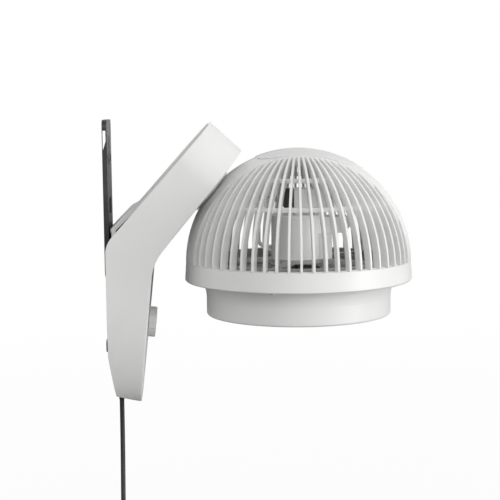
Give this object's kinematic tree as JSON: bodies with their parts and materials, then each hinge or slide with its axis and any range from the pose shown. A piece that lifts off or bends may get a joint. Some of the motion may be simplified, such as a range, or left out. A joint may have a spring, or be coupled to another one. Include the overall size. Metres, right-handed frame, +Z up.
{
  "type": "wall mounted fan",
  "caption": "Wall mounted fan: slatted ball head facing down on a slanted arm, knob and display panel on the body, metal wall plate behind, cord with coil and plug.",
  "frame": {"origin": "centre of the wall plate's four screw holes, on the plate's back face", "axes": "+Z up the wall, +X away from the wall, +Y to the right seen from the room"},
  "size_m": [0.3252, 0.2424, 0.55],
  "materials": {
    "white_plastic": "fine satin texture",
    "cover_plastic": "fine satin texture",
    "knob_plastic": "satin",
    "bearing_nylon": "smooth",
    "frame_plastic": "satin",
    "dark_plastic": "satin",
    "panel_dark": "gloss",
    "light_lens": "clear tinted",
    "board_green": "satin",
    "blade_plastic": "smooth",
    "zinc_steel": "zinc plated",
    "plate_steel": "galvanised, dulled",
    "motor_paint": "satin",
    "core_steel": "laminated",
    "copper_wire": "enamelled",
    "cord_rubber": "matte",
    "feet_rubber": "matte"
  },
  "bodies": {
    "wall_body": {"wall_plate": "plate_steel", "hanger_bracket": "zinc_steel", "hanger_screws": "zinc_steel", "housing": "white_plastic", "rear_cover": "cover_plastic", "cover_screws": "zinc_steel", "rubber_feet": "feet_rubber", "display_panel": "panel_dark", "indicator_lights": "light_lens", "control_board": "board_green", "rotary_switch": "dark_plastic", "pan_bush": "bearing_nylon", "swing_motor": "motor_paint", "swing_motor_screws": "zinc_steel", "cord_gland": "cord_rubber", "terminal_block": "dark_plastic", "power_cord": "cord_rubber", "cord_coil": "cord_rubber", "cord_tie": "cord_rubber", "plug": "cord_rubber", "plug_pins": "zinc_steel"},
    "knob": {"knob": "knob_plastic", "switch_shaft": "zinc_steel"},
    "neck": {"neck_disc": "white_plastic", "slide_shoe": "bearing_nylon", "spring_washer": "zinc_steel", "tilt_bolt": "zinc_steel", "pan_clip": "bearing_nylon", "swing_shaft": "zinc_steel"},
    "head": {"rear_grille": "white_plastic", "belt_cap": "white_plastic", "ring_frame": "white_plastic", "barrel": "white_plastic", "front_grille": "white_plastic", "guard_screws": "zinc_steel", "motor_spider": "frame_plastic", "spider_screws": "zinc_steel", "motor_housing": "white_plastic", "lower_bearing": "zinc_steel", "upper_bearing": "zinc_steel", "stator_core": "core_steel", "stator_coils": "copper_wire", "junction_box": "white_plastic", "driver_box": "white_plastic", "wire_connector": "dark_plastic", "motor_lead": "white_plastic"},
    "rotor": {"motor_shaft": "zinc_steel", "rotor_core": "core_steel", "fan_blades": "blade_plastic", "blade_nut": "dark_plastic"}
  },
  "joints": [
    {"name": "pan", "type": "hinge", "parent": "wall_body", "child": "neck", "pos_m": [0.11027, 0, 0.00409], "axis": [-0.7683, 0, 0.6401], "range_deg": [-45, 45]},
    {"name": "tilt", "type": "hinge", "parent": "neck", "child": "head", "pos_m": [0.204, 0, -0.074], "axis": [0, -1, 0], "range_deg": [0, 70]},
    {"name": "blade_spin", "type": "hinge", "parent": "head", "child": "rotor", "pos_m": [0.204, 0, -0.074], "axis": [0, 0, 1], "continuous": true},
    {"name": "knob_turn", "type": "hinge", "parent": "wall_body", "child": "knob", "pos_m": [0.0432, 0, -0.1364], "axis": [-0.9945, 0, 0.1045], "range_deg": [0, 120]}
  ]
}
